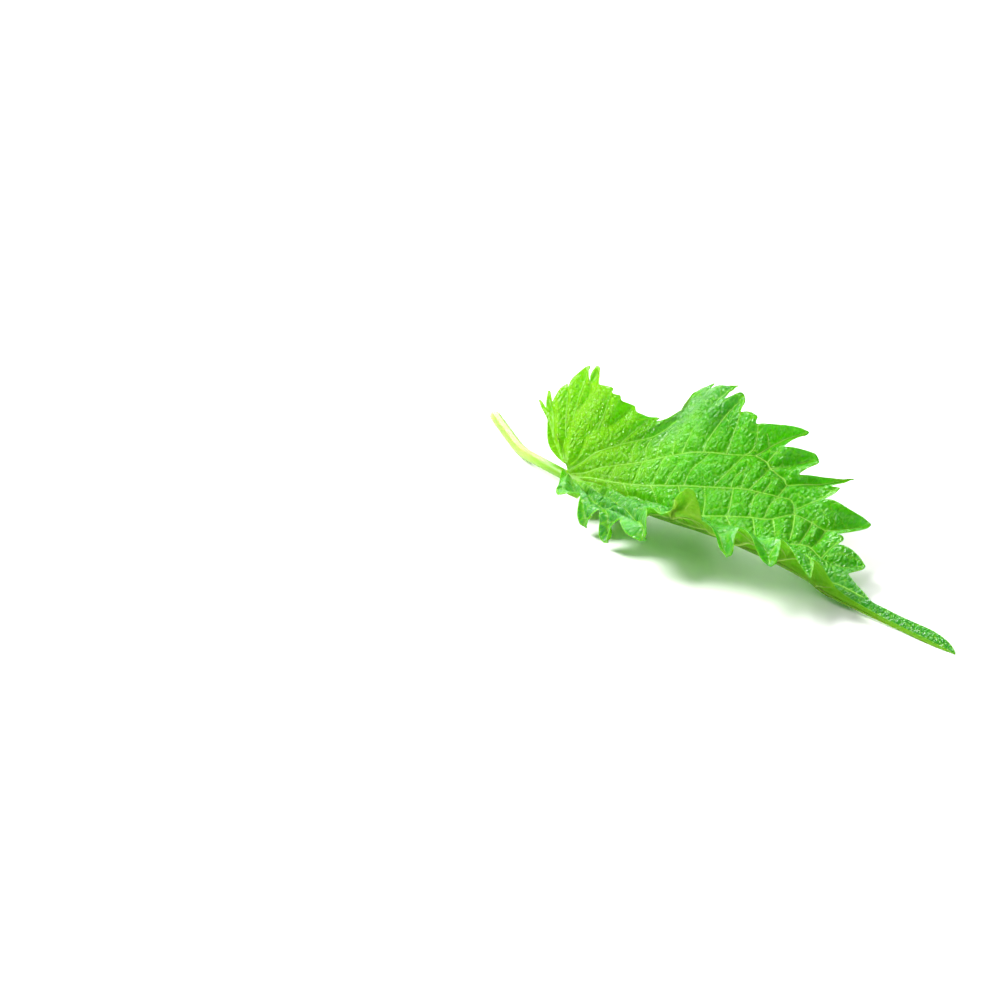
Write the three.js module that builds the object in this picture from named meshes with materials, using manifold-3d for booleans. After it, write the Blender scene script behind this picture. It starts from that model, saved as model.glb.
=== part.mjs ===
// A green shiso leaf, picked with its stalk and lying on a table: one piece, in millimetres, with +Z up.
// The midrib runs along +X, from the foot of the blade to the tip. The left half of the blade is on the +Y side.
// The blade is drawn flat first, and then bent: along the midrib by its height, and across it by the slope of each half.

import * as THREE from "three";
import { mergeVertices } from "three/addons/utils/BufferGeometryUtils.js";
import Module from "manifold-3d";

// Main sizes
const bladeLength = 98;
const bladeThickness = 0.7;
const footOfBlade = new THREE.Vector3(-31.7, -5.97, 0); // its place in the part's frame, over the table
const tableBite = 0.15; // how much of each resting point the table flattens

// Bend of the blade: a station every stationStep along the midrib, the first one behind the foot. Each gives the height of
// the midrib, and for the left and right half the slopes in degrees at every slopeStep across, positive where they rise.
const stationStep = 12;
const slopeStep = 7;
const stations = [
  { height: 5.4, left: [30, 38, 42, 42, 40], right: [-10, -30, -60, -80, -80] },
  { height: 5.5, left: [28, 40, 48, 50, 50], right: [0, 0, -60, -90, -90] },
  { height: 5.9, left: [20, 24, 20, 20, 22], right: [6, 0, -85, -105, -105] },
  { height: 6.3, left: [22, 38, 42, 40, 30], right: [14, 24, -55, -100, -105] },
  { height: 6.6, left: [22, 32, 34, 34, 30], right: [22, 40, 30, -75, -90] },
  { height: 6.4, left: [18, 24, 22, 14, 5], right: [24, 42, 38, -60, -75] },
  { height: 5.5, left: [16, 12, 4, -4, -10], right: [45, 60, 5, -75, -75] },
  { height: 2.6, left: [22, 0, -12, -20, -20], right: [55, 64, -15, -70, -70] },
  { height: 0.9, left: [25, 10, 0, 0, 0], right: [60, 60, 60, 60, 60] },
  { height: 0.25, left: [25, 10, 0, 0, 0], right: [60, 60, 60, 60, 60] },
  { height: 0.25, left: [25, 10, 0, 0, 0], right: [60, 60, 60, 60, 60] },
];
const walkSteps = 20;

// One tooth of the right half is curled up: it turns back by this many degrees past the given distance from the midrib.
const curledTooth = { along: 44.2, from: 17.2, over: 1.5, width: 5.4, turn: 165 };

// Edge of the blade, laid flat: [along, across] of every tooth's tip and of the valley after it. The outer side of a tooth
// bulges; where it differs from the usual bulge, the point that draws the curve towards it is given too.
const leftTeeth = [
  { tip: [-16.3, 12], valley: [-13.1, 10.8], bulge: [-9, 3] },
  { tip: [-14.9, 14.7], valley: [-12.4, 12.3] },
  { tip: [-10.9, 17.6], valley: [-10.3, 16.3] },
  { tip: [-8.3, 23.1], valley: [-5.8, 19], bulge: [-11.1, 19.5] },
  { tip: [-6, 23.2], valley: [-2.8, 19.5] },
  { tip: [0.6, 20.1], valley: [0.7, 18.8] },
  { tip: [2.3, 19.4], valley: [2.8, 18.3] },
  { tip: [5.4, 19], valley: [6, 18] },
  { tip: [10.1, 20.4], valley: [9.9, 18.8] },
  { tip: [12.7, 24.9], valley: [13.3, 23.9] },
  { tip: [15.7, 32.9], valley: [16, 31.6], bulge: [11.3, 29.6] },
  { tip: [26.4, 30.3], valley: [25.2, 26.4], bulge: [19.8, 29.1] },
  { tip: [28.4, 29.2], valley: [30.1, 24.8] },
  { tip: [33.7, 25.5], valley: [33.9, 23.9] },
  { tip: [42.6, 29.1], valley: [40.9, 22.4] },
  { tip: [47.3, 25.2], valley: [46.7, 18.7] },
  { tip: [53.8, 27.6], valley: [52.5, 20.9], bulge: [51.2, 21.3] },
  { tip: [53.9, 22.5], valley: [54, 16.5] },
  { tip: [62.5, 21.1], valley: [60.9, 10.9] },
  { tip: [62.5, 11.5], valley: [62.6, 9.2] },
  { tip: [69.4, 10], valley: [69, 4.5] },
];
const rightTeeth = [
  { tip: [5, 9], valley: [10.3, 7], bulge: [3.3, 5.4] },
  { tip: [16, 17.4], valley: [18.6, 11] },
  { tip: [23.4, 21.3], valley: [26.4, 14] },
  { tip: [36, 24.4], valley: [34.6, 17] },
  { tip: [39, 19.2], valley: [42, 18.4] },
  { tip: [41.5, 22.4], valley: [42.6, 23.4] },
  { tip: [44.6, 22.4], valley: [48.5, 17.2] },
  { tip: [55.1, 21.5], valley: [54, 14.8] },
  { tip: [62.4, 18.7], valley: [59.3, 10.6] },
  { tip: [69.5, 15.3], valley: [63.8, 9.7] },
];
const leftTip = [[71.2, 3.8], [74.9, 2.8], [77, 2.1], [80, 2.3], [85, 2.5], [92, 2.6], [95, 1.9]];
const rightTip = [[66.6, 8.6], [69.5, 5.6], [72, 3.2], [75, 1.9], [79, 1.2], [85, 1], [91, 1]];
const lastFoot = 94;

// Side veins run forward from the midrib to the edge: veinLean is how far forward for each millimetre across, and veinStep
// how gently that begins at the foot of the blade, where the veins fan out from one place.
const veinLean = 0.75;
const veinStep = 8;

// Grid of each half: columns follow the side veins, rows the edge. The inner rows go out to the innerShare of the valleys.
const flankColumns = { left: 2, right: 3 };
const innerRows = 6;
const outerRows = 2;
const innerShare = 0.86;
const seamStep = 3;

// Ribs beneath the side veins
const ribDepth = 0.45;
const ribShare = 0.8;

// Stalk and midrib: round, and thinner towards the tip of the leaf
const stalkRadius = 1.15;
const midribEndRadius = 0.35;
const midribEnd = 84;
const stalkSides = 10;
const rodRings = 40;
const stalkRoute = [
  { at: [-34, 15], lift: 0 },
  { at: [-27, 11], lift: 0 },
  { at: [-18, 6], lift: 0.3 },
  { at: [-9, 1.6], lift: 2.5 },
];

const wasm = await Module();
wasm.setup();

const radians = THREE.MathUtils.degToRad;
const mix = THREE.MathUtils.lerp;
const mixPair = (a, b, t) => [mix(a[0], b[0], t), mix(a[1], b[1], t)];

// Smooth curve through evenly spaced values, read at a place counted in values from the first.
function through(values, place) {
  const last = values.length - 1;
  const at = THREE.MathUtils.clamp(place, 0, last - 1e-9);
  const i = Math.floor(at);
  const f = at - i;
  const [a, b, c, d] = [-1, 0, 1, 2].map((k) => values[THREE.MathUtils.clamp(i + k, 0, last)]);
  return b + 0.5 * f * (c - a + f * (2 * a - 5 * b + 4 * c - d + f * (3 * (b - c) + d - a)));
}

const heights = stations.map((station) => station.height);
const slopes = {
  left: [0, 1, 2, 3, 4].map((k) => stations.map((station) => radians(station.left[k]))),
  right: [0, 1, 2, 3, 4].map((k) => stations.map((station) => radians(station.right[k]))),
};

const midribHeight = (along) => through(heights, along / stationStep + 1);

// Extra turn of the curled tooth, in radians
function curl(along, across) {
  const sideways = THREE.MathUtils.clamp(1 - Math.abs(along - curledTooth.along) / curledTooth.width, 0, 1);
  const outwards = THREE.MathUtils.clamp((across - curledTooth.from) / curledTooth.over, 0, 1);
  return radians(curledTooth.turn) * THREE.MathUtils.smoothstep(sideways, 0, 0.6) * outwards;
}

// Point of the bent blade over a flat one: it walks out from the midrib in short steps, each turned by the slope there.
function bent(along, across) {
  const half = across >= 0 ? slopes.left : slopes.right;
  const reach = Math.abs(across);
  const inner = half.map((row) => through(row, along / stationStep + 1));
  let out = 0;
  let up = 0;
  for (let k = 0; k < walkSteps; k++) {
    const walked = (reach * (k + 0.5)) / walkSteps;
    const place = Math.min(walked / slopeStep, inner.length - 1 - 1e-9);
    const i = Math.floor(place);
    const turn = mix(inner[i], inner[i + 1], place - i) + (across < 0 ? curl(along, walked) : 0);
    out += Math.cos(turn) / walkSteps;
    up += Math.sin(turn) / walkSteps;
  }
  const tilt = midribHeight(along + 0.5) - midribHeight(along - 0.5);
  const level = 1 / Math.hypot(1, tilt);
  const rise = up * reach;
  return new THREE.Vector3(along - rise * tilt * level, out * across, midribHeight(along) + rise * level);
}

// Direction in which the upper face looks
function upperNormal(along, across) {
  const step = 0.3;
  const forward = bent(along + step, across).sub(bent(along - step, across));
  const sideways = bent(along, across + step).sub(bent(along, across - step));
  return forward.cross(sideways).normalize();
}

// Where on the midrib the side vein starts that reaches a place on the edge
const veinFoot = ([along, across]) => veinStep * Math.log(1 + Math.exp((along - veinLean * across) / veinStep));

// Columns of one half: each starts on the midrib, and ends on the edge. A tooth has its tip in the middle column.
function columnsOf(side, teeth, tipPoints) {
  const sign = side === "left" ? 1 : -1;
  const flank = flankColumns[side];
  const columns = [];
  let valley = [0, 1];
  let foot = 0;
  const add = (where, inner, edge, rib) =>
    columns.push({
      foot: where,
      inner: [mix(where, inner[0], innerShare), sign * inner[1] * innerShare],
      edge: [edge[0], sign * edge[1]],
      rib,
    });
  add(foot, valley, valley, 0);
  for (const tooth of teeth) {
    const nextFoot = Math.max(foot + 0.4, veinFoot(tooth.valley));
    const bulge = tooth.bulge ?? [mix(valley[0], tooth.tip[0], 0.45), mix(valley[1], tooth.tip[1], 0.65)];
    const outer = new THREE.QuadraticBezierCurve(
      new THREE.Vector2(...valley),
      new THREE.Vector2(...bulge),
      new THREE.Vector2(...tooth.tip),
    );
    for (let k = 1; k <= 2 * flank; k++) {
      const share = k / (2 * flank);
      const back = (k - flank) / flank;
      const edge = k <= flank ? outer.getPoint(k / flank).toArray() : mixPair(tooth.tip, tooth.valley, back);
      const rib = 1 - Math.abs(back);
      add(mix(foot, nextFoot, share), mixPair(valley, tooth.valley, share), edge, rib);
    }
    foot = nextFoot;
    valley = tooth.valley;
  }
  for (const point of tipPoints) {
    foot = Math.min(veinFoot(point), lastFoot - 2);
    add(foot, point, point, 0);
  }
  columns.push({ foot: lastFoot, inner: [mix(lastFoot, bladeLength, 0.5), 0], edge: [bladeLength, 0], rib: 0 });
  return columns;
}

// The flat blade as points and triangles, with both halves zipped to one row of points along the midrib
function flatBlade() {
  const points = [];
  const triangles = [];
  const known = new Map();
  const vertex = (along, across, rib = 0) => {
    const key = `${Math.round(along * 1e4)},${Math.round(across * 1e4)}`;
    if (!known.has(key)) known.set(key, points.push({ along, across, rib }) - 1);
    return known.get(key);
  };
  const seamPlaces = Array.from({ length: Math.floor(lastFoot / seamStep) + 1 }, (_, k) => k * seamStep);
  seamPlaces.push(lastFoot);
  const seam = seamPlaces.map((along) => vertex(along, 0));
  const halves = { left: columnsOf("left", leftTeeth, leftTip), right: columnsOf("right", rightTeeth, rightTip) };
  for (const [side, columns] of Object.entries(halves)) {
    const face = (a, b, c) => triangles.push(side === "left" ? [a, b, c] : [a, c, b]);
    const rows = [];
    for (let j = 1; j <= innerRows + outerRows; j++) {
      rows.push(
        columns.map(({ foot, inner, edge, rib }) => {
          const within = Math.min(j / innerRows, 1);
          const beyond = Math.max(j - innerRows, 0) / outerRows;
          const at = mixPair(mixPair([foot, 0], inner, within), edge, beyond);
          return vertex(at[0], at[1], rib * (1 - 0.5 * within) * (1 - beyond));
        }),
      );
    }
    for (let j = 1; j < rows.length; j++) {
      for (let k = 1; k < columns.length; k++) {
        const [a, b, c, d] = [rows[j - 1][k - 1], rows[j - 1][k], rows[j][k], rows[j][k - 1]];
        face(a, b, c);
        face(a, c, d);
      }
    }
    let i = 0;
    let k = 0;
    while (i < seam.length - 1 || k < columns.length - 1) {
      const seamNext = i < seam.length - 1 && (k === columns.length - 1 || seamPlaces[i + 1] <= columns[k + 1].foot);
      if (seamNext) face(seam[i], seam[++i], rows[0][k]);
      else face(seam[i], rows[0][k + 1], rows[0][k++]);
    }
  }
  return { points, triangles };
}

// Closed geometry from points and triangles, as a solid
function solidFrom(positions, triangles) {
  const geometry = new THREE.BufferGeometry();
  geometry.setAttribute("position", new THREE.Float32BufferAttribute(positions, 3));
  geometry.setIndex(triangles);
  const merged = mergeVertices(geometry, 1e-4);
  return new wasm.Manifold(
    new wasm.Mesh({
      numProp: 3,
      vertProperties: merged.attributes.position.array,
      triVerts: new Uint32Array(merged.index.array),
    }),
  );
}

// The blade: the same triangles on the upper and the lower face, joined by a rim round the edge
function blade() {
  const { points, triangles } = flatBlade();
  const upper = [];
  const lower = [];
  for (const { along, across, rib } of points) {
    const middle = bent(along, across);
    const normal = upperNormal(along, across);
    const vein = ribShare * rib * ribDepth;
    upper.push(...middle.clone().addScaledVector(normal, bladeThickness / 2 - vein * 0.4).toArray());
    lower.push(...middle.clone().addScaledVector(normal, -bladeThickness / 2 - vein).toArray());
  }
  const count = points.length;
  const edges = new Map();
  const faces = [];
  for (const [a, b, c] of triangles) {
    faces.push(a, b, c, c + count, b + count, a + count);
    for (const [from, to] of [[a, b], [b, c], [c, a]]) {
      if (!edges.delete(`${to},${from}`)) edges.set(`${from},${to}`, [from, to]);
    }
  }
  for (const [from, to] of edges.values()) faces.push(from, from + count, to + count, from, to + count, to);
  return solidFrom([...upper, ...lower], faces);
}

// Round rod along a curve, closed at both ends
function rod(curve, radiusAt) {
  const frames = curve.computeFrenetFrames(rodRings, false);
  const positions = [];
  const faces = [];
  for (let k = 0; k <= rodRings; k++) {
    const centre = curve.getPointAt(k / rodRings);
    for (let side = 0; side < stalkSides; side++) {
      const turn = (2 * Math.PI * side) / stalkSides;
      const out = frames.normals[k].clone().multiplyScalar(Math.cos(turn));
      out.addScaledVector(frames.binormals[k], Math.sin(turn));
      positions.push(...centre.clone().addScaledVector(out, radiusAt(centre)).toArray());
    }
  }
  for (let k = 0; k < rodRings; k++) {
    for (let side = 0; side < stalkSides; side++) {
      const next = (side + 1) % stalkSides;
      const [a, b] = [k * stalkSides + side, k * stalkSides + next];
      faces.push(a, b, b + stalkSides, a, b + stalkSides, a + stalkSides);
    }
  }
  const lastRing = rodRings * stalkSides;
  for (let side = 1; side < stalkSides - 1; side++) {
    faces.push(0, side + 1, side, lastRing, lastRing + side, lastRing + side + 1);
  }
  return solidFrom(positions, faces);
}

// The stalk lies on the table at its cut end, rises to the foot of the blade and goes on beneath it as the midrib
function stalkAndMidrib() {
  const radiusAt = ({ x }) => mix(stalkRadius, midribEndRadius, THREE.MathUtils.clamp(x / midribEnd, 0, 1));
  const centres = stalkRoute.map(({ at, lift }) => new THREE.Vector3(...at, stalkRadius - tableBite + lift));
  for (let along = 0; along <= midribEnd; along += 7) {
    const middle = bent(along, 0);
    centres.push(middle.addScaledVector(upperNormal(along, 0), -0.6 * radiusAt(middle)));
  }
  return rod(new THREE.CatmullRomCurve3(centres, false, "centripetal"), radiusAt);
}

// The table top takes a thin flat slice off what rests on it
function belowTable() {
  const block = new THREE.BoxGeometry(300, 300, 20).translate(0, 0, -10);
  block.deleteAttribute("normal");
  block.deleteAttribute("uv");
  const merged = mergeVertices(block);
  return solidFrom(Array.from(merged.attributes.position.array), Array.from(merged.index.array));
}

function leafGeometry() {
  const whole = blade().add(stalkAndMidrib()).subtract(belowTable());
  const { vertProperties, triVerts } = whole.getMesh();
  const geometry = new THREE.BufferGeometry();
  geometry.setAttribute("position", new THREE.BufferAttribute(vertProperties, 3));
  geometry.setIndex(new THREE.BufferAttribute(triVerts, 1));
  geometry.computeVertexNormals();
  return geometry;
}

const leafGreen = new THREE.MeshStandardMaterial({ color: 0x58b01c, roughness: 0.5, metalness: 0 });
const leaf = new THREE.Mesh(leafGeometry(), leafGreen);
leaf.name = "leaf";
leaf.position.copy(footOfBlade);

const shisoLeaf = new THREE.Group();
shisoLeaf.add(leaf);
export default shisoLeaf;
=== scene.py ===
# %% [markdown]
# # A green shiso leaf
# One leaf, picked with its stalk, lies on a pale table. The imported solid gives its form: a blade folded
# along the midrib, waved across it, cut into teeth and drawn out to a long tip. This lesson lays a finer
# skin over the same form and adds what the eye wants from close by: sunken veins, the quilted relief
# between them, a satin gloss and the light that shines through.

import bpy
import numpy as np
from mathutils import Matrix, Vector


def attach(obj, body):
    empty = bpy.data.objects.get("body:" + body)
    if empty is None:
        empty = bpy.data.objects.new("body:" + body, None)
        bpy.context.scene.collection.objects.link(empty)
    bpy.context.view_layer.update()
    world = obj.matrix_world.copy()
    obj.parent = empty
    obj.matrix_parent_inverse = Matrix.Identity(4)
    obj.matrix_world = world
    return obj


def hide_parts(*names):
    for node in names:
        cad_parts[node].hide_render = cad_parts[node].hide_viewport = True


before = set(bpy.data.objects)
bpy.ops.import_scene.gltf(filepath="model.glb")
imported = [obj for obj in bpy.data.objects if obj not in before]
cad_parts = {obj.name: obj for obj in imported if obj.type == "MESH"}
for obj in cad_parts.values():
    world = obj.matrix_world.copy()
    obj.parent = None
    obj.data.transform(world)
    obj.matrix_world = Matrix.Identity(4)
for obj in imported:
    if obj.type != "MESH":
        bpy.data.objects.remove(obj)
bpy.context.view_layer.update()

# %% [markdown]
# ## The bend of the blade
# A leaf is a flat sheet that has been bent, so it is easiest to draw it flat and to bend it afterwards. Two
# numbers name a place on the flat sheet: how far along the midrib, and how far across from it, both in
# millimetres. Every 12 mm along the midrib a station says how high the midrib lies, and how steeply each
# half rises at every 7 mm across. These are the same stations as in the solid, so the skin keeps its form.

# %% Stations and other sizes of the form, in millimetres and degrees
BLADE_LENGTH = 98.0
FOOT_OF_BLADE = np.array([-31.7, -5.97, 0.0])
STATION_STEP = 12.0
SLOPE_STEP = 7.0
HEIGHTS = np.array([5.4, 5.5, 5.9, 6.3, 6.6, 6.4, 5.5, 2.6, 0.9, 0.25, 0.25])
LEFT_SLOPES = np.radians([
    [30, 38, 42, 42, 40],
    [28, 40, 48, 50, 50],
    [20, 24, 20, 20, 22],
    [22, 38, 42, 40, 30],
    [22, 32, 34, 34, 30],
    [18, 24, 22, 14, 5],
    [16, 12, 4, -4, -10],
    [22, 0, -12, -20, -20],
    *[[25, 10, 0, 0, 0]] * 3,
])
RIGHT_SLOPES = np.radians([
    [-10, -30, -60, -80, -80],
    [0, 0, -60, -90, -90],
    [6, 0, -85, -105, -105],
    [14, 24, -55, -100, -105],
    [22, 40, 30, -75, -90],
    [24, 42, 38, -60, -75],
    [45, 60, 5, -75, -75],
    [55, 64, -15, -70, -70],
    *[[60] * 5] * 3,
])
CURLED_TOOTH = {"along": 44.2, "from": 17.2, "over": 1.5, "width": 5.4, "turn": np.radians(165)}
WALK_STEPS = 20
print(len(HEIGHTS), "stations,", BLADE_LENGTH, "mm of midrib")


# %% Bending a flat place
def through(rows, place):
    """Smooth curve through evenly spaced rows: between two rows, the cubic that also leans on the rows
    either side."""
    last = len(rows) - 1
    place = np.clip(place, 0, last - 1e-9)
    i = np.floor(place).astype(int)
    f = place - i
    a, b, c, d = (rows[np.clip(i + k, 0, last)] for k in (-1, 0, 1, 2))
    f = f[..., None] if rows.ndim > 1 else f
    return b + 0.5 * f * (c - a + f * (2 * a - 5 * b + 4 * c - d + f * (3 * (b - c) + d - a)))


def smooth_step(x, low, high):
    """0 below low, 1 above high, and 3t^2 - 2t^3 between them, where t is the share of the way."""
    t = np.clip((x - low) / (high - low), 0, 1)
    return t * t * (3 - 2 * t)


def midrib_height(along):
    """Height of the midrib over the table: the smooth curve through the stations' heights."""
    return through(HEIGHTS, along / STATION_STEP + 1)


def curl(along, walked):
    """Extra turn of the curled tooth: full in its middle, none beside it, and growing past a distance from
    the midrib."""
    tooth = CURLED_TOOTH
    beside = np.clip(1 - np.abs(along - tooth["along"]) / tooth["width"], 0, 1)
    outwards = np.clip((walked - tooth["from"]) / tooth["over"], 0, 1)
    return tooth["turn"] * smooth_step(beside, 0, 0.6) * outwards


def bent(along, across):
    """Place of a flat point on the bent blade: it walks out from the midrib in short steps, each turned by
    the slope there, and adds up their cosines sideways and their sines upwards. Upwards leans with the
    midrib's own fall."""
    along, across = np.broadcast_arrays(np.asarray(along, float), np.asarray(across, float))
    left = across >= 0
    station = along / STATION_STEP + 1
    slopes = np.where(left[..., None], through(LEFT_SLOPES, station), through(RIGHT_SLOPES, station))
    reach = np.abs(across)
    out, up = np.zeros(along.shape), np.zeros(along.shape)
    for k in range(WALK_STEPS):
        walked = reach * (k + 0.5) / WALK_STEPS
        place = np.minimum(walked / SLOPE_STEP, 4 - 1e-9)
        i = np.floor(place).astype(int)[..., None]
        near = np.take_along_axis(slopes, i, -1)[..., 0]
        far = np.take_along_axis(slopes, i + 1, -1)[..., 0]
        turn = near + (far - near) * (place - i[..., 0]) + np.where(left, 0, curl(along, walked))
        out += np.cos(turn) / WALK_STEPS
        up += np.sin(turn) / WALK_STEPS
    tilt = midrib_height(along + 0.5) - midrib_height(along - 0.5)
    level = 1 / np.hypot(1, tilt)
    rise = up * reach
    return np.stack([along - rise * tilt * level, out * across, midrib_height(along) + rise * level], -1)


def unit(v):
    """Vectors of length one in the same directions."""
    return v / np.maximum(np.linalg.norm(v, axis=-1, keepdims=True), 1e-12)


def upper_normal(along, across, step=0.3):
    """Direction in which the upper face looks: the cross product of a small step along and a small step
    across."""
    forward = bent(along + step, across) - bent(along - step, across)
    sideways = bent(along, across + step) - bent(along, across - step)
    return unit(np.cross(forward, sideways))


print("middle of the left half:", bent(40.0, 12.0).round(1), "mm")

# %% [markdown]
# ## The toothed edge
# The edge is drawn flat too, as the tip of every tooth and the valley after it. Coarse teeth alternate with
# small ones, the side of a tooth that faces the stalk bulges, and no tip is needle sharp. Straight lines
# between the points would look cut with scissors, so each side is a curve, and the whole edge is then
# softened along its length by a narrow bell-shaped average.

# %% Teeth, in millimetres along and across
# Each tooth is drawn as its outer side up to the tip, then its inner side down to the valley.
LEFT_TEETH = [
    ([(-3, 1.4), (-6, 2.6), (-8.4, 4.5), (-10.6, 7.4), (-12.2, 9.2), (-14.6, 10.6), (-16.3, 12)],
        [(-15.2, 12), (-13.1, 10.8)]),
    ([(-14.2, 12.6), (-14.9, 14.7)], [(-13.9, 14.4), (-12.4, 12.3)]),
    ([(-12.2, 15.8), (-10.9, 17.6)], [(-10.3, 16.3)]),
    ([(-10.6, 18.6), (-9.8, 20.6), (-8.3, 23.1)], [(-7.2, 21), (-5.8, 19)]),
    ([(-6.6, 20.6), (-7, 22.2), (-6.2, 23.4)], [(-5.1, 23.1), (-3.8, 21.6), (-2.8, 19.5)]),
    ([(-0.9, 19.8), (0.6, 20.1)], [(0.7, 18.8)]),
    ([(1.6, 19), (2.3, 19.4)], [(2.8, 18.3)]),
    ([(4.2, 18.7), (5.4, 19)], [(6, 18)]),
    ([(8.2, 18.7), (10.1, 20.4)], [(9.9, 18.8)]),
    ([(10.9, 20.4), (11.8, 22.4), (12.2, 24.4)], [(13.5, 24.7)]),
    ([(13, 26), (12.5, 27.5), (11.8, 28.8), (11.9, 30), (12.6, 31.6), (13.7, 32.8), (15.6, 33.2)],
        [(15.1, 32.2), (15.2, 31.2)]),
    ([(18.3, 30.7), (22.7, 29.6), (24.4, 29.9), (26.6, 30.5)], [(25.1, 28.9), (24.8, 27.6), (25.3, 26.4)]),
    ([(26.1, 27.2), (26.9, 28.3), (27.7, 29.2), (28.4, 29.1)], [(29.5, 28), (30, 26.6), (30.1, 24.8)]),
    ([(31.8, 25.6), (33.7, 25.5)], [(33.9, 23.9)]),
    ([(37.2, 25.8), (40.9, 28.4), (42.6, 29.1)], [(42.2, 27.4), (41.5, 25.4), (40.9, 22.4)]),
    ([(44.4, 24.6), (46.2, 25.6), (47.3, 25.2)], [(47.7, 23.6), (47.3, 21.6), (46.7, 18.7)]),
    ([(50.7, 22.2), (52.8, 25), (53.8, 27.6)], [(53.2, 24), (52.5, 20.9)]),
    ([(53.3, 21.8), (53.9, 22.5)], [(54.3, 19.6), (54, 16.5)]),
    ([(55.2, 18), (58.8, 19.2), (61.4, 20.8), (62.5, 21.1)], [(62.8, 18.4), (62.2, 14.5), (60.9, 10.9)]),
    ([(61.6, 11.7), (62.5, 11.5)], [(62.9, 10.3), (62.6, 9.2)]),
    ([(65, 10.3), (67.8, 10.5), (69.4, 10)], [(70, 8.2), (69.7, 6.4), (69, 4.5)]),
]
RIGHT_TEETH = [
    ([(1.6, 3.6), (3.8, 6.4), (5, 9)], [(6.5, 9.6), (8.7, 8.9), (10.3, 7)]),
    ([(12.4, 10.4), (14, 13.6), (15.7, 15.3)], [(16.9, 13.6), (18.6, 11)]),
    ([(20.2, 13.6), (21.3, 17.2), (23, 18.8)], [(24.8, 17), (26.4, 14)]),
    ([(30.2, 18.2), (33.7, 22.3), (36, 24.4)], [(36.8, 22), (36, 18.8), (34.6, 17)]),
    ([(36.4, 17.8), (39, 19.2)], [(42, 18.4)]),
    ([(41.2, 20.6), (41.5, 22.4)], [(42.6, 23.4)]),
    ([(43.6, 23.5), (44.6, 22.4)], [(46.6, 19.4), (48.5, 17.2)]),
    ([(51.4, 18.6), (53.5, 20.6), (55.1, 21.5)], [(56, 20), (54.8, 17.2), (54, 14.8)]),
    ([(57, 16), (60.4, 18.4), (62.4, 18.7)], [(62.8, 17), (61, 13.4), (59.3, 10.6)]),
    ([(61.3, 12), (64.7, 13.9), (67.6, 15), (69.5, 15.3)], [(68.2, 13.2), (66.6, 11), (63.8, 9.5)]),
]
LEFT_TIP = [(71.2, 3.8), (74.9, 2.8), (77, 2.1), (80, 2.3), (85, 2.5), (89, 2.7), (92, 2.6),
    (95, 1.9), (97.2, 0.8)]
RIGHT_TIP = [(67, 7.9), (69.2, 4), (70.8, 1.6), (74, 0.9), (79, 0.9), (85, 1), (91, 1), (96, 0.6)]
INNER_SHARE = 0.86
SIDE_PLACES, TIP_PLACES = 20, 160
SOFT_STEP, EDGE_SPREAD, INNER_SPREAD = 0.1, 0.28, 0.8
VEIN_LEAN, VEIN_STEP, FOOT_GAP, LAST_FOOT = 0.75, 8.0, 0.4, 94.0
print(len(LEFT_TEETH), "teeth on the left,", len(RIGHT_TEETH), "on the right")


# %% One half's edge as a run of columns
def side_of(points, count):
    """Evenly numbered places on the smooth curve through the points, without its first point."""
    points = np.array(points, float)
    return through(points, np.linspace(0, len(points) - 1, count + 1)[1:])


def vein_foot(point):
    """Where on the midrib the side vein starts that reaches a place on the edge: a soft version of along -
    lean * across."""
    return VEIN_STEP * np.log1p(np.exp((point[..., 0] - VEIN_LEAN * point[..., 1]) / VEIN_STEP))


def half_edge(teeth, tip_points):
    """Edge, inner line and foot of every column of one half, before softening. The inner line joins the
    teeth's valleys."""
    edge, inner, foot = [np.array([[0.0, 1.0]])], [np.array([[0.0, 1.0]])], [np.array([0.0])]
    valley, at = (0.0, 1.0), 0.0
    share = np.linspace(0, 1, 2 * SIDE_PLACES + 1)[1:, None]
    for outer_side, inner_side in teeth:
        tip, after = outer_side[-1], inner_side[-1]
        next_at = max(at + FOOT_GAP, float(vein_foot(np.array(after, float))))
        edge.append(side_of([valley, *outer_side], SIDE_PLACES))
        edge.append(side_of([tip, *inner_side], SIDE_PLACES))
        inner.append(np.array(valley) + (np.array(after) - valley) * share)
        foot.append(at + (next_at - at) * share[:, 0])
        valley, at = after, next_at
    points = side_of([valley, *tip_points, (BLADE_LENGTH, 0)], TIP_PLACES)
    reach = np.maximum.accumulate(np.minimum(vein_foot(points), LAST_FOOT))
    edge.append(points)
    inner.append(points)
    foot.append(np.maximum(reach, at + np.linspace(0, 0.2, TIP_PLACES)))
    edge, inner, foot = np.concatenate(edge), np.concatenate(inner), np.concatenate(foot)
    foot[-1] = LAST_FOOT
    root = np.stack([foot, np.zeros(len(foot))], -1)
    return edge, root + (inner - root) * INNER_SHARE, foot


# %% The edge softened, and the grid between it and the midrib
def walked_along(line, extra=0.0):
    """Length of a line up to each of its places: the sum of the steps, each with the same little extra."""
    return np.concatenate([[0], np.cumsum(np.linalg.norm(np.diff(line, axis=0), axis=1) + extra)])


def softened(values, along_edge, spread):
    """Values along the edge, resampled in even steps and averaged with a bell curve of the given spread."""
    fine = np.arange(0, along_edge[-1] + SOFT_STEP, SOFT_STEP)
    reach = int(np.ceil(3 * spread / SOFT_STEP))
    bell = np.exp(-0.5 * (np.arange(-reach, reach + 1) * SOFT_STEP / spread) ** 2)
    columns = [np.interp(fine, along_edge, v) for v in np.atleast_2d(values.T)]
    padded = [np.pad(c, reach, mode="edge") for c in columns]
    return fine, np.stack([np.convolve(p, bell / bell.sum(), mode="valid") for p in padded], -1)


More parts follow.
